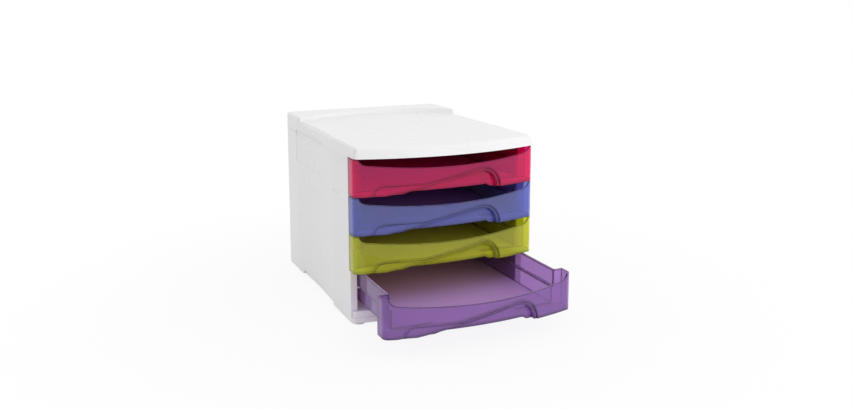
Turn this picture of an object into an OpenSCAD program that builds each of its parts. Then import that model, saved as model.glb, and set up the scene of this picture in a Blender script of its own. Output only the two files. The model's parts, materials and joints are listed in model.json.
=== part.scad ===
// Desk-top drawer tower: a white moulded cabinet with four translucent drawers.
// X runs across the fronts, Y runs from the fronts to the back and Z runs up.
// All sizes are millimetres.

/* [Cabinet] */
// Width across the two side panels
body_w = 284; // [276:1:320]
// Depth of the side panels
body_d = 335; // [320:1:380]
// Wall of the white mouldings
body_wall = 2.5; // [2:0.1:3]
// Width of the side panels' turned-in rear edges
rear_edge = 20; // [17:1:26]
// Radius of the cabinet's upright rear corners
rear_r = 12; // [8:1:14]
// Clearance where one piece seats on another
fit_gap = 0.3; // [0.1:0.05:0.4]

/* [Grip sides] */
// Hollow of the grip area along each side
grip_sag = 3; // [1:0.5:4]
// Start of the grip area behind the cabinet's front plane
grip_start = 80; // [70:1:90]
// Length of the grip area
grip_len = 184; // [160:1:190]
// Height of the scooped edge of the lid over the grip area
scoop_h = 4; // [2:0.5:5]
// Height of the finger groove along the lid's seam
groove_h = 9; // [6:0.5:9.5]
// Depth of the finger groove
groove_depth = 1.2; // [0.6:0.1:1.4]
// Length of the finger groove
groove_len = 144; // [100:1:150]
// Distance of the finger groove from the grip area's start
groove_in = 49; // [40:1:60]
// Depth of the shallow panel below the groove
recess_depth = 0.7; // [0.4:0.1:1]
// Height of the shallow panel
recess_h = 46; // [30:1:60]
// Radius of the shallow panel's lower corners
recess_r = 8; // [4:1:12]
// Length of the shallow slot on each front pillar
slot_len = 30; // [15:1:40]
// Height of the slot
slot_h = 3; // [2:0.5:4]
// Distance of the slot from the grip area
slot_in = 4; // [2:0.5:8]
// Drop of the slot below the lid's seam
slot_drop = 56; // [40:1:80]
// Height of the arch under each side panel
arch_h = 7; // [4:1:10]
// Length of the arch, from the grip area's start backwards
arch_len = 168; // [140:1:180]

/* [Fronts] */
// How far the drawer fronts and the lid stand beyond each side panel
front_over = 2; // [1:0.5:3]
// How far the middle of a drawer front stands before the cabinet
front_reach = 45; // [42:1:50]
// Radius of the bowed drawer fronts
bow_r = 500; // [460:10:700]
// Radius of the fronts' upright corners
corner_r = 10; // [8:0.5:12]
// Height of one front
front_h = 54.4; // [52:0.2:62]
// Gap between two fronts
front_gap = 1.2; // [0.8:0.1:2]
// Depth of the dip along a front's top edge
dip_depth = 16; // [12:1:18]
// Radius of the dip's long lower edge
dip_bow_r = 1100; // [900:50:1500]
// Radius of the dip's ends
dip_corner_r = 14; // [10:1:18]
// Face left beside the dip
dip_margin = 6; // [5:0.5:8]

/* [Finger pull] */
// Place of the pull's highest point, from the middle
pull_peak = 50; // [30:1:55]
// Height of the pull's highest point above the front's bottom edge
pull_h = 26; // [22:1:28]
// Slope of the pull's long edge, in degrees
pull_tilt = 10; // [9.5:0.5:13]
// Depth of the pull behind the face
pull_depth = 9; // [7:0.5:10]
// Height of the shallow band above the pull
band_h = 4.5; // [3:0.5:6]
// Depth of the shallow band
band_depth = 2; // [1:0.5:3]
// Height of the band's long left end
band_end_h = 14.5; // [12:0.5:16]
// Left end of the band, from the middle
band_left = 116; // [105:1:120]
// Left end of the raised floor under the pull, from the middle
lift_left = 60; // [50:1:70]
// Right end of the raised floor under the pull, from the middle
lift_right = 60; // [56:1:66]
// Length of the slope that leads up to the raised floor on the left; half as long on the right
lift_run = 18; // [8:1:24]

/* [Drawers] */
// Wall of the drawer mouldings
tray_wall = 2.2; // [1.8:0.1:2.4]
// Space between the lower part of a tray and the outside of each side panel
tray_side = 16; // [15.5:0.5:18]
// Width of the shoulder on each side that runs on the cabinet's ribs
shoulder_w = 3.5; // [3:0.1:3.8]
// Height of the ribs' tops above the front's bottom edge
runner_h = 28; // [24:1:36]
// Thickness of the runner ribs and the trays' rims
rib_t = 2; // [1.6:0.1:2.4]
// Width of a tray's rim beyond its upper wall
rim_w = 1.5; // [0.8:0.1:1.8]
// Clearance between a lower tray wall and the ribs beside it
rib_gap = 1; // [0.6:0.1:1.4]
// Clearance between a tray's rim and the side panels' turned-in front edges
rim_gap = 1; // [0.6:0.1:1.2]
// Space between a closed tray and the back panel
tray_back_gap = 10; // [8:1:20]
// Height of a tray's underside above its front's bottom edge
tray_lift = 4; // [2.5:0.5:5]
// Radius of a tray's rear corners
tray_r = 10; // [6:1:16]
// Travel of a drawer up to its stop
travel = 240; // [200:5:250]
// Width of the stop lugs beyond the rim
lug_w = 2.5; // [2:0.1:3]
// Opening of the lowest drawer as it stands
open_rest = 112; // [0:1:200]

/* [Base] */
// Height of the lowest drawer front above the floor
base_h = 27; // [25:1:34]
// Height of the base's top above the floor
base_top = 20; // [18:0.5:22]
// How far the middle of the base stands before the cabinet
base_reach = 15; // [12:1:24]
// Radius of the base's bowed front
base_bow_r = 1200; // [1000:50:1600]
// Radius of the base's upright front corners
base_corner_r = 8; // [6:0.5:10]
// Height of the base's lower band above the floor
band_top = 11; // [9:0.5:13]
// How far the lower band stands out
band_out = 3; // [1:0.5:4]
// Radius of a foot pad
foot_r = 9; // [6:0.5:10]
// Height of a foot pad
foot_h = 3; // [2:0.5:4]
// Distance of the feet from the cabinet's sides
foot_in = 14; // [13:0.5:18]

/* [Lid] */
// Height of the lid's front
lid_h = 15; // [12:1:20]
// How far the middle of the lid stands before the cabinet
lid_reach = 52; // [50:1:58]
// Radius of the lid's bowed front
lid_bow_r = 420; // [400:10:600]
// Lean of the lid's front
lid_lean = 3; // [1:0.5:4]
// Bevel along the lid's top edge
lid_bevel = 2.5; // [1:0.5:3]
// How far the lid's skirt reaches below its front edge
skirt_drop = 5; // [4:0.5:7]
// Rise of the lid's rear part
rear_rise = 6.5; // [4:0.5:8]
// Radius of the curved step across the lid
step_r = 238; // [225:1:300]
// Farthest point of the step behind the cabinet's front plane
step_back = 293; // [275:1:300]
// Width of the step's slope
step_slope = 3; // [1:0.5:5]
// Width of the seam groove on the lid's front corners
seam_w = 1.2; // [0.8:0.1:1.6]
// Depth of the seam groove
seam_depth = 0.8; // [0.4:0.1:1]
// Turn of the seam groove round the corner, in degrees from the side
seam_turn = 24; // [10:2:50]

/* [Hidden] */

$fn = 96;
long_arc = 360;           // segments of the large circles
over = 1;                 // how far a cut runs past the face that it opens
bite = 0.05;              // how far an edge dips into the arc that it meets
far = 700;                // longer than any edge of the model

drawer_n = 4;
half_w = body_w / 2;
front_w = body_w + 2 * front_over;
tray_w = body_w - 2 * tray_side;
pitch = front_h + front_gap;
lid_z = base_h + drawer_n * pitch;
deck_z = lid_z + lid_h;
panel_top = lid_z - skirt_drop;

seat_y = -fit_gap;        // back of the drawer fronts, before the panels' front edges
back_y = body_d - 2 * body_wall;
tray_back = back_y - tray_back_gap;
runner_z = runner_h + fit_gap;
rim_half = tray_w / 2 + shoulder_w + rim_w;
rib_half = tray_w / 2 + rib_gap;
front_edge = half_w - rim_half - rim_gap;    // width of the panels' turned-in front edges

// Stop lugs: they meet the back of the panels' turned-in front edges at full travel
lug_len = 4;
lug_h = 8;
lug_y = body_wall + fit_gap + travel;

// The origin lies under the middle of the tower's footprint with the lowest drawer open
shift_y = (front_reach + open_rest - body_d) / 2;

white = [0.93, 0.93, 0.92];
red = [0.86, 0.10, 0.33];
blue = [0.26, 0.34, 0.72];
yellow = [0.72, 0.72, 0.12];
violet = [0.42, 0.24, 0.60];

// ---------- plans ----------

// Centre of a bow whose middle reaches out by reach, and of its corner arcs
function bow_y(reach, br) = br - reach;
function corner_y(w, reach, br, cr) =
    bow_y(reach, br) - sqrt(pow(br - cr, 2) - pow(w / 2 - cr, 2));

// Everything before the line y = y_back
module before(y_back) {
    translate([-far / 2, y_back - far]) square(far);
}

// Wedge from the bow's centre past both corner centres, where arc and corners are tangent
module bow_wedge(w, reach, br, cr) {
    x = w - 2 * cr;
    top = bow_y(reach, br);
    y = top - 2 * (top - corner_y(w, reach, br, cr));
    polygon([[0, top], [-x, y], [x, y]]);
}

// Bowed outline: one long arc, two tangent corner arcs and straight sides back to y_back,
// drawn in by i
module bow_plan(w, reach, br, cr, i, y_back) {
    cy = corner_y(w, reach, br, cr);
    intersection() {
        union() {
            intersection() {
                translate([0, bow_y(reach, br)]) circle(r = br - i, $fn = long_arc);
                bow_wedge(w, reach, br, cr);
            }
            for (side = [-1, 1])
                translate([side * (w / 2 - cr), cy]) circle(r = cr - i);
            translate([i - w / 2, cy]) square([w - 2 * i, far]);
        }
        before(y_back);
    }
}

// The same outline as a block whose sides lean in from i0 to i1 over the height h. The bow and
// the sides lie a bite inside the corners, so that each meets them at an edge
module bow_block(w, reach, br, cr, h, i0, i1, y_back) {
    cy = corner_y(w, reach, br, cr);
    x0 = w / 2 - i0 - bite;
    x1 = w / 2 - i1 - bite;
    intersection() {
        union() {
            intersection() {
                translate([0, bow_y(reach, br), 0])
                    cylinder(h = h, r1 = br - i0 - bite, r2 = br - i1 - bite, $fn = long_arc);
                linear_extrude(h) bow_wedge(w, reach, br, cr);
            }
            for (side = [-1, 1])
                translate([side * (w / 2 - cr), cy, 0])
                    cylinder(h = h, r1 = cr - i0, r2 = cr - i1);
            translate([0, cy + far, 0])
                rotate([90, 0, 0])
                    linear_extrude(far)
                        polygon([[-x0, 0], [x0, 0], [x1, h], [-x1, h]]);
        }
        linear_extrude(h) before(y_back);
    }
}

module front_plan(i, y_back) {
    bow_plan(front_w, front_reach, bow_r, corner_r, i, y_back);
}

// Rectangle from y0 to y1 whose two rear corners are rounded
module rear_round_plan(w, y0, y1, r) {
    translate([-w / 2, y0]) square([w, y1 - y0 - r]);
    translate([r - w / 2, y1 - r - over]) square([w - 2 * r, r + over]);
    for (side = [-1, 1])
        translate([side * (w / 2 - r), y1 - r]) circle(r = r);
}

grip_mid = grip_start + grip_len / 2;
grip_r = (grip_len * grip_len / 4 + grip_sag * grip_sag) / (2 * grip_sag);

// The two long circles that hollow the sides, grown by i
module grip_circles(i) {
    for (side = [-1, 1])
        translate([side * (half_w + grip_r - grip_sag), grip_mid])
            circle(r = grip_r + i, $fn = long_arc);
}

// Plan of the cabinet, drawn in by i
module body_plan(i) {
    difference() {
        rear_round_plan(body_w - 2 * i, i, body_d - i, rear_r - i);
        grip_circles(i);
    }
}

// ---------- side panels ----------

module panel_shell() {
    linear_extrude(panel_top - foot_h)
        intersection() {
            difference() {
                body_plan(0);
                body_plan(body_wall);
            }
            union() {
                translate([-half_w, 0]) square([front_edge, body_d / 2]);
                translate([-half_w, body_d / 2]) square([rear_edge, body_d / 2]);
            }
        }
}

// Runner rib of one bay, joined to the panel's wall all along
module runner(bay) {
    translate([0, 0, base_h + bay * pitch + runner_h - rib_t])
        linear_extrude(rib_t)
            intersection() {
                body_plan(body_wall / 2);
                translate([-half_w, 0]) square([half_w - rib_half, back_y - fit_gap]);
            }
}

// Arch under the middle of a panel, with sloping ends
module arch_cut() {
    translate([-half_w - over, grip_start, foot_h])
        rotate([90, 0, 90])
            linear_extrude(rear_edge)
                polygon([[-over, -over], [arch_h, arch_h],
                         [arch_len - arch_h, arch_h], [arch_len + over, -over]]);
}

// Everything outside the cabinet's plan drawn in by depth, under a slot outline in Y and Z
module side_cut(depth) {
    difference() {
        translate([-half_w - over, 0, 0])
            rotate([90, 0, 90])
                linear_extrude(grip_sag + depth + over) children();
        translate([0, 0, -over]) linear_extrude(far) body_plan(depth);
    }
}

// Rounded rectangle from the origin. Its straight edges dip a bite into the corner arcs
module rounded_plan(w, h, r) {
    for (x = [r, w - r])
        for (y = [r, h - r])
            translate([x, y]) circle(r = r);
    translate([bite, r]) square([w - 2 * bite, h - 2 * r]);
    translate([r, bite]) square([w - 2 * r, h - 2 * bite]);
}

groove_y = grip_start + groove_in;
groove_z = panel_top - groove_h / 2;

// Finger groove, half in the panel and half in the lid's skirt
module groove_outline() {
    translate([groove_y, groove_z]) rounded_plan(groove_len, groove_h, groove_h / 2 - bite);
}

// Shallow panel below the groove, running up into it
module recess_outline() {
    translate([groove_y, groove_z - recess_h])
        rounded_plan(groove_len, recess_h + recess_r, recess_r);
}

module slot_outline() {
    translate([grip_start - slot_in - slot_len, panel_top - slot_drop - slot_h])
        rounded_plan(slot_len, slot_h, slot_h / 2 - bite);
}

module side_panel() {
    difference() {
        union() {
            translate([0, 0, foot_h]) panel_shell();
            for (bay = [0 : drawer_n - 1]) runner(bay);
        }
        arch_cut();
        side_cut(groove_depth) groove_outline();
        side_cut(recess_depth) recess_outline();
        side_cut(recess_depth) slot_outline();
        // the front edge stops on the base
        translate([body_wall + fit_gap - half_w, -over, 0])
            cube([front_edge, body_wall + 2 * over, base_top + fit_gap]);
    }
}

module left_side_panel() {
    color(white) side_panel();
}

module right_side_panel() {
    color(white) mirror([1, 0, 0]) side_panel();
}

// ---------- back panel ----------

module back_panel() {
    half = half_w - rear_r - fit_gap;
    z0 = base_top + fit_gap;
    color(white)
        translate([-half, back_y, z0])
            cube([2 * half, body_wall - fit_gap, panel_top - z0]);
}

// ---------- lid ----------

// The lid's leaning front block with its bevelled top edge, drawn in by i
module lid_front(i, y_back) {
    bevel_z = lid_h - lid_bevel;
    bow_block(front_w, lid_reach, lid_bow_r, corner_r, bevel_z, i, i + lid_lean, y_back);
    translate([0, 0, bevel_z])
        bow_block(front_w, lid_reach, lid_bow_r, corner_r, lid_bevel,
                  i + lid_lean, i + lid_lean + lid_bevel, y_back);
}

module behind_front() {
    translate([-far / 2, grip_start]) square(far);
}

// Scoop along the lid's side edges, from the grip area's start to the step's ends
module scoop_cut() {
    step_end = step_back - step_r + sqrt(step_r * step_r - half_w * half_w);
    intersection() {
        for (side = [-1, 1])
            translate([side * (half_w + grip_r - grip_sag), grip_mid, deck_z - scoop_h])
                cylinder(h = scoop_h + over, r1 = grip_r, r2 = grip_r + scoop_h + over, $fn = long_arc);
        translate([-far / 2, grip_start, 0]) cube([far, step_end - grip_start, far]);
    }
}

// Upright seam groove on each front corner, leaning with the lid's front
module seam_cut() {
    cy = corner_y(front_w, lid_reach, lid_bow_r, corner_r);
    seam_h = lid_h - lid_bevel;
    for (side = [0, 1])
        mirror([side, 0, 0])
            translate([front_w / 2 - corner_r, cy, lid_z])
                rotate([0, 0, -seam_turn])
                    translate([corner_r - seam_depth, -seam_w / 2, 0])
                        rotate([0, -atan(lid_lean / seam_h), 0])
                            translate([0, 0, -over]) cube([corner_r, seam_w, seam_h + over]);
}

// The curved step: everything before it, leaning back towards the top
module step_cut(h, r) {
    translate([0, step_back - step_r, 0])
        cylinder(h = h, r1 = r, r2 = r + step_slope, $fn = long_arc);
}

// Rear half of the cabinet's outline as a block whose sides lean in by lean over the height h.
// The sides lie a bite inside the corners, so that each meets them at an edge
module rear_block(h, lean) {
    x0 = half_w - bite;
    y0 = body_d - bite;
    for (side = [-1, 1])
        translate([side * (half_w - rear_r), body_d - rear_r, 0])
            cylinder(h = h, r1 = rear_r, r2 = rear_r - lean);
    translate([0, body_d - rear_r, 0])
        rotate([90, 0, 0])
            linear_extrude(body_d / 2 - rear_r)
                polygon([[-x0, 0], [x0, 0], [x0 - lean, h], [lean - x0, h]]);
    translate([rear_r - half_w, 0, 0])
        rotate([90, 0, 90])
            linear_extrude(body_w - 2 * rear_r)
                polygon([[body_d / 2, 0], [y0, 0], [y0 - lean, h], [body_d / 2, h]]);
}

// The raised part behind the step, with a bevelled top edge
module rear_band() {
    bevel_z = rear_rise - lid_bevel;
    translate([0, 0, deck_z - over])
        difference() {
            union() {
                rear_block(bevel_z + over, 0);
                translate([0, 0, bevel_z + over]) rear_block(lid_bevel, lid_bevel);
            }
            translate([0, 0, -over]) {
                step_cut(rear_rise + 3 * over, step_r);
                linear_extrude(rear_rise + 3 * over) grip_circles(0);
            }
        }
}

// The hollow under the raised part
module rear_hollow() {
    i = body_wall + step_slope;
    translate([0, 0, deck_z - body_wall - over])
        difference() {
            linear_extrude(rear_rise + over)
                rear_round_plan(body_w - 2 * i, body_d / 2, body_d - i, rear_r - i);
            translate([0, 0, -over]) step_cut(rear_rise + 3 * over, step_r + i);
        }
}

module lid_outer() {
    skirt_z = panel_top + fit_gap;
    translate([0, 0, lid_z]) lid_front(0, grip_start + fit_gap);
    translate([0, 0, skirt_z])
        linear_extrude(lid_z - skirt_z + over)
            intersection() {
                difference() {
                    bow_plan(front_w, lid_reach, lid_bow_r, corner_r, 0, grip_start + fit_gap);
                    bow_plan(front_w, lid_reach, lid_bow_r, corner_r, body_wall, far);
                }
                translate([-far / 2, 0]) square(far);
            }
    translate([0, 0, skirt_z])
        linear_extrude(deck_z - skirt_z)
            intersection() {
                body_plan(0);
                behind_front();
            }
    rear_band();
}

module lid_hollow() {
    translate([0, 0, lid_z - body_wall]) lid_front(body_wall, grip_start);
    scoop_z = deck_z - scoop_h - body_wall;
    linear_extrude(scoop_z)
        intersection() {
            body_plan(body_wall);
            translate([0, -over]) behind_front();
        }
    translate([0, 0, scoop_z - over])
        linear_extrude(scoop_h + over)
            difference() {
                intersection() {
                    body_plan(body_wall);
                    translate([0, -over]) behind_front();
                }
                grip_circles(body_wall + scoop_h);
            }
    rear_hollow();
}

module lid() {
    color(white)
        difference() {
            lid_outer();
            lid_hollow();
            scoop_cut();
            seam_cut();
            for (side = [0, 1])
                mirror([side, 0, 0]) side_cut(groove_depth) groove_outline();
        }
}

// ---------- base ----------

// Plan of the base: the bowed apron, and the plate between the side panels
module base_plan(i, back_step) {
    bow_plan(body_w, base_reach, base_bow_r, base_corner_r, i + back_step, -fit_gap - i);
    difference() {
        side = body_wall + fit_gap + i;
        rear_round_plan(body_w - 2 * side, -2 * fit_gap - i, body_d - side, rear_r - side);
        grip_circles(side);
    }
}

foot_x = half_w - foot_in;
front_foot_y = foot_r / 2;
rear_foot_y = body_d - body_wall - foot_in;

module foot_places() {
    for (y = [front_foot_y, rear_foot_y])
        for (side = [-1, 1])
            translate([side * foot_x, y, 0]) children();
}

module base() {
    color(white) {
        difference() {
            union() {
                translate([0, 0, foot_h]) linear_extrude(band_top - foot_h) base_plan(0, 0);
                translate([0, 0, foot_h]) linear_extrude(base_top - foot_h) base_plan(0, band_out);
            }
            linear_extrude(band_top - body_wall) base_plan(body_wall, 0);
            linear_extrude(base_top - body_wall) base_plan(body_wall, band_out);
        }
        // bosses that carry the foot pads
        translate([0, 0, foot_h])
            foot_places() cylinder(r = foot_r, h = base_top - body_wall - foot_h);
    }
}

module foot(side, y) {
    color(white)
        translate([side * foot_x, y, 0]) cylinder(r = foot_r, h = foot_h);
}

// ---------- drawers ----------

// Upright outline of the pull: a circle round its highest point and the long edge that meets it
module swoosh(r) {
    s = r - bite;
    left = pull_peak - s / sin(pull_tilt);
    translate([pull_peak, 0]) circle(r = r);
    polygon([[left, -r / 2], [left, 0],
             [pull_peak - s * sin(pull_tilt), s * cos(pull_tilt)],
             [pull_peak + r / 2, 0], [pull_peak + r / 2, -r / 2]]);
}

// Upright outline of the shallow band round the pull, with its long left end, grown by g
module band(g) {
    swoosh(pull_h + band_h + g);
    h = band_end_h + g;
    translate([band_end_h - band_left, 0]) circle(r = h);
    translate([band_end_h - band_left, -h / 2])
        square([band_left - band_end_h, 1.5 * h - bite]);
}

// An upright outline cut into the bowed face down to a depth that follows the bow
module face_cut(depth) {
    difference() {
        translate([0, seat_y, 0]) rotate([90, 0, 0]) linear_extrude(far) children();
        translate([0, bow_y(front_reach, bow_r), -far / 2])
            cylinder(r = bow_r - depth, h = far, $fn = long_arc);
    }
}

// The finger pull, with every face moved outwards by g
module pull_cuts(g) {
    face_cut(pull_depth + g) swoosh(pull_h + g);
    face_cut(band_depth + g) band(g);
    translate([0, seat_y, 0])
        rotate([90, 0, 0])
            linear_extrude(far)
                polygon([[-lift_left - lift_run - g, -over], [-lift_left - g, tray_lift + g],
                         [lift_right + g, tray_lift + g],
                         [lift_right + lift_run / 2 + g, -over]]);
}

// Plan of a tray of width w, drawn in by i; a wider plan steps out by as much at the back
module tray_plan(w, i) {
    out = (w - tray_w) / 2 - i;
    rear_round_plan(w - 2 * i, seat_y - 2 * tray_wall, tray_back + out, tray_r + out);
}

// The front box and the stepped tray behind it, drawn in by i and reaching up to top
module drawer_block(i, top) {
    translate([0, 0, i]) linear_extrude(top - i) front_plan(i, seat_y - i);
    translate([0, 0, tray_lift + i])
        linear_extrude(top - tray_lift - i) tray_plan(tray_w, i);
    translate([0, 0, runner_z + i])
        linear_extrude(top - runner_z - i) tray_plan(tray_w + 2 * shoulder_w, i);
}

// Rim round the tray's top and the stop lugs on it
module rim() {
    translate([0, 0, front_h - rib_t]) linear_extrude(rib_t) tray_plan(2 * rim_half, 0);
    translate([-rim_half - lug_w, lug_y, front_h - lug_h])
        cube([2 * (rim_half + lug_w), lug_len, lug_h]);
}

// Dip along the top edge of the face
module dip_cut() {
    translate([0, seat_y - 2 * tray_wall, front_h])
        rotate([90, 0, 0])
            linear_extrude(far)
                bow_plan(front_w - 2 * dip_margin, dip_depth, dip_bow_r, dip_corner_r, 0, far / 2);
}

module drawer(bay, opening) {
    translate([0, -opening, base_h + bay * pitch])
        difference() {
            union() {
                drawer_block(0, front_h);
                rim();
            }
            pull_cuts(0);
            difference() {
                drawer_block(tray_wall, front_h + over);
                pull_cuts(tray_wall);
            }
            dip_cut();
        }
}

module drawer_1_red() {
    color(red) drawer(3, 0);
}

module drawer_2_blue() {
    color(blue) drawer(2, 0);
}

module drawer_3_yellow() {
    color(yellow) drawer(1, 0);
}

module drawer_4_violet() {
    color(violet) drawer(0, open_rest);
}

// ---------- assembly ----------

translate([0, shift_y, 0]) {
    lid();
    base();
    back_panel();
    left_side_panel();
    right_side_panel();
    drawer_1_red();
    drawer_2_blue();
    drawer_3_yellow();
    drawer_4_violet();
    foot(-1, front_foot_y);  // foot_front_left
    foot(1, front_foot_y);  // foot_front_right
    foot(-1, rear_foot_y);  // foot_rear_left
    foot(1, rear_foot_y);  // foot_rear_right
}
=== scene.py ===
"""Looks of the drawer tower: white mouldings, four translucent drawers, foot pads and a small studio.

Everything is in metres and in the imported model's own frame: X runs across the fronts, Y from the
fronts to the back and Z up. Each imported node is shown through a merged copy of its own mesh, whose
moulded edges are rounded, and every finish is a node material.
"""
import json
import math

import bmesh
import bpy
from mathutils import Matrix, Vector

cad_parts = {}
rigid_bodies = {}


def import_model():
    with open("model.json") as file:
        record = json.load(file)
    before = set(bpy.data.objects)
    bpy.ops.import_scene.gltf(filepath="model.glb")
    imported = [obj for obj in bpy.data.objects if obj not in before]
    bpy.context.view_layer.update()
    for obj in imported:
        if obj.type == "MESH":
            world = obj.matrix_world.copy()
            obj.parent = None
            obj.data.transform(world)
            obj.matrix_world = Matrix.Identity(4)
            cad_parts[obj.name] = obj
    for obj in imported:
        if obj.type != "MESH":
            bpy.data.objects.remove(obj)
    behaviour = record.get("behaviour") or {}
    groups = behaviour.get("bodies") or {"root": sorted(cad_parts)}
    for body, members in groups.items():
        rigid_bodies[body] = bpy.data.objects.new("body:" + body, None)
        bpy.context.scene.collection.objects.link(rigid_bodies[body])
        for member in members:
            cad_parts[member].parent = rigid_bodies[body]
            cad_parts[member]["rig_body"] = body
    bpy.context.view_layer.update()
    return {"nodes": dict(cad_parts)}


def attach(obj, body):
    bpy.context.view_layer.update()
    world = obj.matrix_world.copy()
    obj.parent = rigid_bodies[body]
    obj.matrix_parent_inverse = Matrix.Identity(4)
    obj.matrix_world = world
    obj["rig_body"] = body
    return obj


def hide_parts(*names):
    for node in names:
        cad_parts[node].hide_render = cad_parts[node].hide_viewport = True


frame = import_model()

bl_info = {
    "name": "Drawer tower looks",
    "version": (1, 0, 0),
    "blender": (4, 5, 0),
    "location": "3D View > Sidebar > Drawer tower",
    "description": "Mouldings, translucent drawers, foot pads and studio for the packed drawer tower",
    "category": "Object",
}

CABINET_NODES = ("lid", "base", "back_panel", "left_side_panel", "right_side_panel")
TIGHT_NODES = ("lid",)       # no room for the full edge rounding, so it is held back there
FOOT_NODES = ("foot_front_left", "foot_front_right", "foot_rear_left", "foot_rear_right")
DRAWER_NODES = {             # each drawer's tint, by its name in the settings
    "drawer_1_red": "red",
    "drawer_2_blue": "blue",
    "drawer_3_yellow": "yellow",
    "drawer_4_violet": "violet",
}

WALL = 0.0022                # wall of the drawer mouldings
WELD = 1e-5                  # corners closer than this are one point
FLAT = math.radians(0.5)     # faces that meet at less than this are one flat
EDGE = math.radians(28)      # faces that meet at more than this meet at an edge
GRIP_ENDS = (-0.009, 0.175)  # where the hollowed grip area of the sides starts and ends
GRIP_REACH = 0.001           # how near to those ends their folds lie
GRIP_FOLD = (math.radians(1.5), math.radians(8))    # how sharply the grip area's ends fold

GRAIN = 900                  # fineness of the moulded grain
WHITE_WAVES = 7              # coarseness of the slow waves and shade changes, per material
WHITE_FLOW = 10
DRAWER_WAVES = 9
DRAWER_FLOW = 12
WHITE_WAVE_DEPTH = 0.00003
WHITE_GRAIN_DEPTH = 0.000001
DRAWER_WAVE_DEPTH = 0.00006
FOOT_GRAIN_DEPTH = 0.0002
FOOT_GRAIN_STRENGTH = 0.4

WHITE_SHADE = 0.985          # darkest shade of the white, as a share of its colour
WHITE_ROUGHNESS_SPAN = (-0.05, 0.06)     # how far the roughness strays from its setting
WHITE_IOR = 1.5
DRAWER_SHADE = 0.97
DRAWER_ROUGHNESS_SPAN = (-0.02, 0.03)
DRAWER_IOR = 1.4
DRAWER_GLOSS = 0.15
LAMP_TINT = 0.12             # power of the tint that colours the light passing into the drawers
FOOT_GREYS = (0.62, 0.70)
FOOT_ROUGHNESS = 0.7

# painted shade along the drawers' edges: samples and normal likeness that place the dark lines
PAINTED_LINE_SAMPLES = 4
PAINTED_LINE_BEND = (0.99, 0.9)      # likeness of the rounded and the true normal: face, full edge
LEVEL_FACE = (0.7, 0.95)     # upward part of the normal: upright wall, level floor


# ---------- settings ----------

class CabinetSettings(bpy.types.PropertyGroup):
    colour: bpy.props.FloatVectorProperty(
        name="Colour", description="Colour of the white mouldings",
        subtype="COLOR", size=3, min=0, max=1, default=(0.80, 0.80, 0.80))
    edge_round: bpy.props.FloatProperty(
        name="Edge rounding", description="Width of the rounding along the moulded edges",
        unit="LENGTH", min=0, max=0.001, default=0.0003)
    roughness: bpy.props.FloatProperty(
        name="Roughness", description="Roughness of the glossy faces", min=0, max=1, default=0.28)


class DrawerSettings(bpy.types.PropertyGroup):
    red: bpy.props.FloatVectorProperty(
        name="Top drawer", description="Tint of the top drawer",
        subtype="COLOR", size=3, min=0, max=1, default=(0.96, 0.035, 0.33))
    blue: bpy.props.FloatVectorProperty(
        name="Second drawer", description="Tint of the second drawer",
        subtype="COLOR", size=3, min=0, max=1, default=(0.38, 0.42, 0.84))
    yellow: bpy.props.FloatVectorProperty(
        name="Third drawer", description="Tint of the third drawer",
        subtype="COLOR", size=3, min=0, max=1, default=(0.83, 0.84, 0.09))
    violet: bpy.props.FloatVectorProperty(
        name="Bottom drawer", description="Tint of the bottom drawer",
        subtype="COLOR", size=3, min=0, max=1, default=(0.55, 0.34, 0.70))
    clearness: bpy.props.FloatProperty(
        name="Clearness", description="Share of the light that passes through the plastic",
        min=0, max=1, default=0.8)
    floor_clearness: bpy.props.FloatProperty(
        name="Floor clearness",
        description="Share of the light that passes through the matt tray floor",
        min=0, max=1, default=0.15)
    deepening: bpy.props.FloatProperty(
        name="Deepening", description="How much of the tint lies in the depth of the plastic",
        min=0, max=1, default=0.22)
    roughness: bpy.props.FloatProperty(
        name="Roughness", description="Roughness of the polished faces",
        min=0, max=1, default=0.03)
    # painted shade: width of the dark lines painted along the drawers' edges
    painted_line_width: bpy.props.FloatProperty(
        name="Edge line", description="Width of the dark line along the edges",
        unit="LENGTH", min=0, max=0.005, default=0.003)
    # painted shade: share of the tint left in the painted dark edge lines
    painted_line_tint: bpy.props.FloatProperty(
        name="Edge shade", description="Share of the tint that is left along the edges",
        min=0, max=1, default=0.03)
    edge_round: bpy.props.FloatProperty(
        name="Edge rounding", description="Width of the rounding along the drawers' edges",
        unit="LENGTH", min=0, max=0.001, default=0.0003)


class FootSettings(bpy.types.PropertyGroup):
    edge_round: bpy.props.FloatProperty(
        name="Edge rounding", description="Width of the rounding along the foot pads' edges",
        unit="LENGTH", min=0, max=0.001, default=0.0004)


class StudioSettings(bpy.types.PropertyGroup):
    floor_size: bpy.props.FloatProperty(
        name="Floor", description="Width of the floor", unit="LENGTH", min=1, max=40, default=12)
    lens: bpy.props.FloatProperty(
        name="Lens", description="Focal length of the camera in millimetres", min=20, max=120,
        default=36.91)
    floor_white: bpy.props.FloatProperty(
        name="Floor white", description="How far the floor near the object shows as plain white",
        min=0, max=1, default=0.88)
    sky: bpy.props.FloatProperty(
        name="Room light", description="Strength of the even light from all sides",
        min=0, max=2, default=0.86)


# ---------- meshes ----------

def fold_at_grip_ends(shape):
    """Mark the upright folds where the hollowed grip area meets the flat sides."""
    for edge in shape.edges:
        if len(edge.link_faces) != 2 or not GRIP_FOLD[0] < edge.calc_face_angle() < GRIP_FOLD[1]:
            continue
        for y in GRIP_ENDS:
            if all(abs(corner.co.y - y) < GRIP_REACH for corner in edge.verts):
                edge.smooth = False


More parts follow.
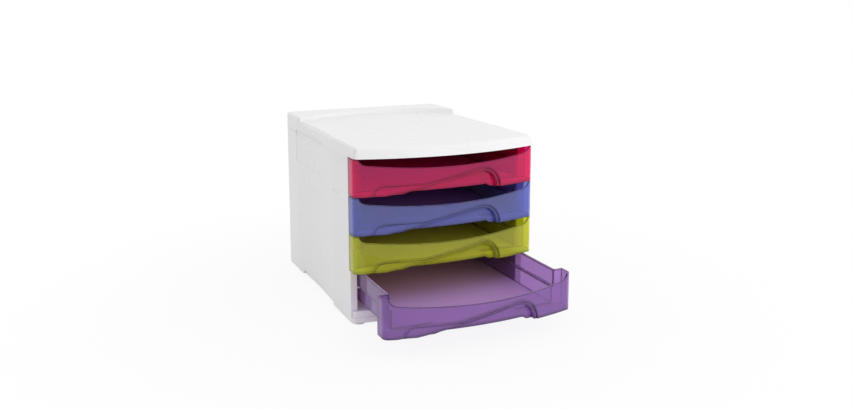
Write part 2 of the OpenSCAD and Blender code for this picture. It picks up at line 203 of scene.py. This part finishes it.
def moulded_copy(node, edge_round):
    """The node's mesh as one closed skin with rounded edges, shown in place of the node."""
    packed = frame["nodes"][node]
    mesh = packed.data.copy()
    mesh.materials.clear()
    if "custom_normal" in mesh.attributes:
        mesh.attributes.remove(mesh.attributes["custom_normal"])
    shape = bmesh.new()
    shape.from_mesh(mesh)
    bmesh.ops.remove_doubles(shape, verts=shape.verts, dist=WELD)
    bmesh.ops.dissolve_degenerate(shape, dist=WELD, edges=shape.edges)
    bmesh.ops.dissolve_limit(shape, angle_limit=FLAT, verts=shape.verts, edges=shape.edges)
    for face in shape.faces:
        face.smooth = True
    for edge in shape.edges:
        edge.smooth = True
    fold_at_grip_ends(shape)
    shape.to_mesh(mesh)
    shape.free()
    piece = bpy.data.objects.new("moulded_" + node, mesh)
    bpy.context.scene.collection.objects.link(piece)
    rounding = piece.modifiers.new("rounded_edges", "BEVEL")
    rounding.width = edge_round
    rounding.segments = 2
    rounding.limit_method = "ANGLE"
    rounding.angle_limit = EDGE
    rounding.use_clamp_overlap = node in TIGHT_NODES
    rounding.harden_normals = True
    even = piece.modifiers.new("even_faces", "WEIGHTED_NORMAL")
    even.keep_sharp = True
    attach(piece, packed["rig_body"])
    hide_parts(node)
    return piece


def finish_piece(piece, material):
    piece.data.materials.append(material)


# ---------- node building ----------

def new_material(name):
    material = bpy.data.materials.new(name)
    material.use_nodes = True
    material.node_tree.nodes.clear()
    return material


def add(tree, kind, inputs=None, **settings):
    """A node of that kind, with its settings, and inputs given as values or as other sockets."""
    made = tree.nodes.new(kind)
    for key, value in settings.items():
        setattr(made, key, value)
    for key, value in (inputs or {}).items():
        if isinstance(value, bpy.types.NodeSocket):
            tree.links.new(value, made.inputs[key])
        else:
            made.inputs[key].default_value = value
    return made


def object_place(tree):
    return add(tree, "ShaderNodeTexCoord").outputs["Object"]


def noise(tree, place, scale, detail):
    made = add(tree, "ShaderNodeTexNoise", {"Vector": place, "Scale": scale, "Detail": detail})
    return made.outputs["Fac"]


def stretch(tree, value, source, target, **settings):
    """The value, moved from the span of source onto the span of target."""
    made = add(tree, "ShaderNodeMapRange", {
        "Value": value, "From Min": source[0], "From Max": source[1],
        "To Min": target[0], "To Max": target[1]}, **settings)
    return made.outputs["Result"]


def blend(tree, share, first, second):
    """The first colour where share is 0 and the second where it is 1."""
    mix = add(tree, "ShaderNodeMix", {0: share, 6: first, 7: second}, data_type="RGBA")
    return mix.outputs[2]


def bump(tree, height, distance, strength=1, normal=None):
    inputs = {"Height": height, "Strength": strength, "Distance": distance}
    if normal is not None:
        inputs["Normal"] = normal
    return add(tree, "ShaderNodeBump", inputs).outputs["Normal"]


def opaque(colour, share=1):
    return [share * part for part in colour] + [1]


def around(value, span):
    return (value + span[0], value + span[1])


# ---------- materials ----------

def painted_line_mask(tree, width):
    """1 along the edges, out to about that width, and 0 on the faces between them; it places the
    painted dark shade lines along the drawers' edges.
    """
    rounded = add(tree, "ShaderNodeBevel", {"Radius": width}, samples=PAINTED_LINE_SAMPLES)
    face = add(tree, "ShaderNodeNewGeometry")
    likeness = add(tree, "ShaderNodeVectorMath", {
        0: rounded.outputs["Normal"], 1: face.outputs["Normal"]}, operation="DOT_PRODUCT")
    return stretch(tree, likeness.outputs["Value"], PAINTED_LINE_BEND, (0, 1))


def flat_mask(tree):
    """1 on the faces that lie flat, such as a tray's floor, and 0 on upright walls."""
    face = add(tree, "ShaderNodeNewGeometry")
    parts = add(tree, "ShaderNodeSeparateXYZ", {0: face.outputs["Normal"]})
    level = add(tree, "ShaderNodeMath", {0: parts.outputs["Z"]}, operation="ABSOLUTE")
    return stretch(tree, level.outputs[0], LEVEL_FACE, (0, 1))


def white_plastic(settings):
    """Glossy white moulding: a fine grain, slow waves of the mould face and faint shade changes."""
    material = new_material("white_plastic")
    tree = material.node_tree
    place = object_place(tree)
    grain = noise(tree, place, GRAIN, 2)
    waves = noise(tree, place, WHITE_WAVES, 0)
    flow = noise(tree, place, WHITE_FLOW, 2)
    slow = bump(tree, waves, WHITE_WAVE_DEPTH)
    skin = add(tree, "ShaderNodeBsdfPrincipled", {
        "Base Color": blend(tree, flow, opaque(settings.colour, WHITE_SHADE),
                            opaque(settings.colour)),
        "Roughness": stretch(tree, flow, (0, 1), around(settings.roughness, WHITE_ROUGHNESS_SPAN)),
        "Normal": bump(tree, grain, WHITE_GRAIN_DEPTH, normal=slow),
        "IOR": WHITE_IOR,
    })
    add(tree, "ShaderNodeOutputMaterial", {"Surface": skin.outputs[0]})
    return material


def drawer_plastic(name, tint, settings):
    """Clear tinted moulding with matt floors and painted dark shade lines along its edges, darker
    where light goes far in it.
    """
    material = new_material(name)
    tree = material.node_tree
    place = object_place(tree)
    flow = noise(tree, place, DRAWER_FLOW, 2)
    waves = noise(tree, place, DRAWER_WAVES, 0)
    faces = blend(tree, flow, opaque(tint, DRAWER_SHADE), opaque(tint))
    skin = add(tree, "ShaderNodeBsdfPrincipled", {
        # painted shade: the tint darkens along the edges, standing in for the dark lines that
        # refraction and inner reflection give real clear plastic
        "Base Color": blend(tree, painted_line_mask(tree, settings.painted_line_width), faces,
                            opaque(tint, settings.painted_line_tint)),
        "Roughness": stretch(tree, flow, (0, 1), around(settings.roughness, DRAWER_ROUGHNESS_SPAN)),
        "Normal": bump(tree, waves, DRAWER_WAVE_DEPTH),
        "IOR": DRAWER_IOR,
        "Specular IOR Level": DRAWER_GLOSS,
        "Transmission Weight": stretch(
            tree, flat_mask(tree), (0, 1), (settings.clearness, settings.floor_clearness)),
    })
    lamp_colour = opaque([part ** LAMP_TINT for part in tint])
    lamp_way = add(tree, "ShaderNodeBsdfTransparent", {"Color": lamp_colour})
    rays = add(tree, "ShaderNodeLightPath")
    mixed = add(tree, "ShaderNodeMixShader", {
        0: rays.outputs["Is Shadow Ray"], 1: skin.outputs[0], 2: lamp_way.outputs[0]})
    fade = [-settings.deepening * math.log(part) / WALL for part in tint]
    depth = add(tree, "ShaderNodeVolumeAbsorption", {
        "Color": opaque([1 - part / max(fade) for part in fade]), "Density": max(fade)})
    add(tree, "ShaderNodeOutputMaterial", {
        "Surface": mixed.outputs[0], "Volume": depth.outputs[0]})
    return material


def foot_plastic():
    """Matt pad with a fine grain."""
    material = new_material("foot_plastic")
    tree = material.node_tree
    grain = noise(tree, object_place(tree), GRAIN, 3)
    dark, pale = ([grey] * 3 + [1] for grey in FOOT_GREYS)
    skin = add(tree, "ShaderNodeBsdfPrincipled", {
        "Base Color": blend(tree, grain, dark, pale),
        "Roughness": FOOT_ROUGHNESS,
        "Normal": bump(tree, grain, FOOT_GRAIN_DEPTH, FOOT_GRAIN_STRENGTH)})
    add(tree, "ShaderNodeOutputMaterial", {"Surface": skin.outputs[0]})
    return material


# ---------- studio ----------

CAMERA_PLACE = (-0.5373, -1.2408, 0.4798)
CAMERA_TILT = math.radians(80.65)
CAMERA_TURN = math.radians(-24.14)
SENSOR_WIDTH = 36                 # millimetres
PICTURE_SIZE = (854, 410)
PICTURE_AXIS = 134.8              # pixel row where the camera's axis meets the picture

WHITE = (1, 1, 1, 1)
FLOOR_COLOUR = (0.8, 0.8, 0.8, 1)
FLOOR_FADE = (0.2, 0.75)          # from the middle: where the floor starts and ends turning white

LAMPS = {                         # place, aim, width and power in watts
    "key_lamp": ((0.2, -1.6, 2.0), (0, 0, 0.15), 1.6, 7),
    "front_lamp": ((0.6, -2.2, 0.9), (0, 0, 0.12), 1.0, 4),
    "side_lamp": ((1.6, -1.0, 1.1), (0, 0, 0.15), 1.4, 7),
}


def camera(settings):
    data = bpy.data.cameras.new("camera")
    data.sensor_width = SENSOR_WIDTH
    data.lens = settings.lens
    data.shift_y = -(PICTURE_SIZE[1] / 2 - PICTURE_AXIS) / PICTURE_SIZE[0]
    made = bpy.data.objects.new("camera", data)
    made.location = CAMERA_PLACE
    made.rotation_euler = (CAMERA_TILT, 0, CAMERA_TURN)
    bpy.context.scene.collection.objects.link(made)
    bpy.context.scene.camera = made


def area_lamp(name, place, aim, width, power):
    data = bpy.data.lights.new(name, "AREA")
    data.size = width
    data.energy = power
    lamp = bpy.data.objects.new(name, data)
    lamp.location = place
    lamp.rotation_euler = (Vector(aim) - Vector(place)).to_track_quat("-Z", "Y").to_euler()
    bpy.context.scene.collection.objects.link(lamp)


def seen_rays(tree):
    """1 for the rays that show the surroundings: to the camera, in a gloss or through a drawer."""
    rays = add(tree, "ShaderNodeLightPath")
    gloss = add(tree, "ShaderNodeMath", {
        0: rays.outputs["Is Camera Ray"], 1: rays.outputs["Is Glossy Ray"]}, operation="MAXIMUM")
    seen = add(tree, "ShaderNodeMath", {
        0: gloss.outputs[0], 1: rays.outputs["Is Transmission Ray"]}, operation="MAXIMUM")
    return seen.outputs[0]


def floor(settings):
    """Pale floor that shows as white away from the object and keeps a soft shadow near it."""
    shape = bmesh.new()
    bmesh.ops.create_grid(shape, x_segments=1, y_segments=1, size=settings.floor_size / 2)
    mesh = bpy.data.meshes.new("floor")
    shape.to_mesh(mesh)
    shape.free()
    made = bpy.data.objects.new("floor", mesh)
    bpy.context.scene.collection.objects.link(made)
    material = new_material("floor")
    tree = material.node_tree
    away = add(tree, "ShaderNodeVectorMath", {0: object_place(tree)}, operation="LENGTH")
    whiteness = stretch(tree, away.outputs["Value"], FLOOR_FADE, (settings.floor_white, 1),
                        interpolation_type="SMOOTHSTEP")
    seen = add(tree, "ShaderNodeMath", {0: seen_rays(tree), 1: whiteness}, operation="MULTIPLY")
    matt = add(tree, "ShaderNodeBsdfDiffuse", {"Color": FLOOR_COLOUR})
    glow = add(tree, "ShaderNodeEmission", {"Color": WHITE, "Strength": 1})
    both = add(tree, "ShaderNodeMixShader", {
        0: seen.outputs[0], 1: matt.outputs[0], 2: glow.outputs[0]})
    add(tree, "ShaderNodeOutputMaterial", {"Surface": both.outputs[0]})
    mesh.materials.append(material)


def room(settings):
    """Even light from all sides, which shows as plain white."""
    world = bpy.data.worlds.new("room")
    bpy.context.scene.world = world
    world.use_nodes = True
    tree = world.node_tree
    tree.nodes.clear()
    light = add(tree, "ShaderNodeBackground", {"Color": WHITE, "Strength": settings.sky})
    white = add(tree, "ShaderNodeBackground", {"Color": WHITE, "Strength": 1})
    both = add(tree, "ShaderNodeMixShader", {
        0: seen_rays(tree), 1: light.outputs[0], 2: white.outputs[0]})
    add(tree, "ShaderNodeOutputWorld", {"Surface": both.outputs[0]})


# ---------- operators ----------

class MakeCabinet(bpy.types.Operator):
    """Lid, base, back panel and side panels in white plastic"""
    bl_idname = "drawer_tower.cabinet"
    bl_label = "Cabinet"

    def execute(self, context):
        settings = context.scene.drawer_tower_cabinet
        material = white_plastic(settings)
        for node in CABINET_NODES:
            finish_piece(moulded_copy(node, settings.edge_round), material)
        return {"FINISHED"}


class MakeDrawers(bpy.types.Operator):
    """The four drawers in translucent plastic"""
    bl_idname = "drawer_tower.drawers"
    bl_label = "Drawers"

    def execute(self, context):
        settings = context.scene.drawer_tower_drawers
        for node, tint in DRAWER_NODES.items():
            slot = tint + "_plastic"
            material = drawer_plastic(slot, getattr(settings, tint), settings)
            finish_piece(moulded_copy(node, settings.edge_round), material)
        return {"FINISHED"}


class MakeFeet(bpy.types.Operator):
    """The four foot pads"""
    bl_idname = "drawer_tower.feet"
    bl_label = "Foot pads"

    def execute(self, context):
        settings = context.scene.drawer_tower_feet
        material = foot_plastic()
        for node in FOOT_NODES:
            finish_piece(moulded_copy(node, settings.edge_round), material)
        return {"FINISHED"}


class MakeStage(bpy.types.Operator):
    """Floor, room light, lamps and camera"""
    bl_idname = "drawer_tower.stage"
    bl_label = "Studio"

    def execute(self, context):
        settings = context.scene.drawer_tower_studio
        context.scene.view_settings.view_transform = "Standard"
        floor(settings)
        room(settings)
        for name, lamp in LAMPS.items():
            area_lamp(name, *lamp)
        camera(settings)
        return {"FINISHED"}


class DRAWER_TOWER_PT_panel(bpy.types.Panel):
    """Lists the steps that dress the tower"""
    bl_label = "Drawer tower"
    bl_space_type = "VIEW_3D"
    bl_region_type = "UI"
    bl_category = "Drawer tower"

    def draw(self, context):
        for made in OPERATORS:
            self.layout.operator(made.bl_idname)


SETTINGS = {
    "drawer_tower_cabinet": CabinetSettings,
    "drawer_tower_drawers": DrawerSettings,
    "drawer_tower_feet": FootSettings,
    "drawer_tower_studio": StudioSettings,
}
OPERATORS = (MakeCabinet, MakeDrawers, MakeFeet, MakeStage)
CLASSES = (*SETTINGS.values(), *OPERATORS, DRAWER_TOWER_PT_panel)


def register():
    for made in CLASSES:
        bpy.utils.register_class(made)
    for name, group in SETTINGS.items():
        setattr(bpy.types.Scene, name, bpy.props.PointerProperty(type=group))


def unregister():
    for name in SETTINGS:
        delattr(bpy.types.Scene, name)
    for made in reversed(CLASSES):
        bpy.utils.unregister_class(made)


def main():
    register()
    bpy.ops.drawer_tower.cabinet()
    bpy.ops.drawer_tower.drawers()
    bpy.ops.drawer_tower.feet()
    bpy.ops.drawer_tower.stage()


if __name__ == "__main__":
    main()
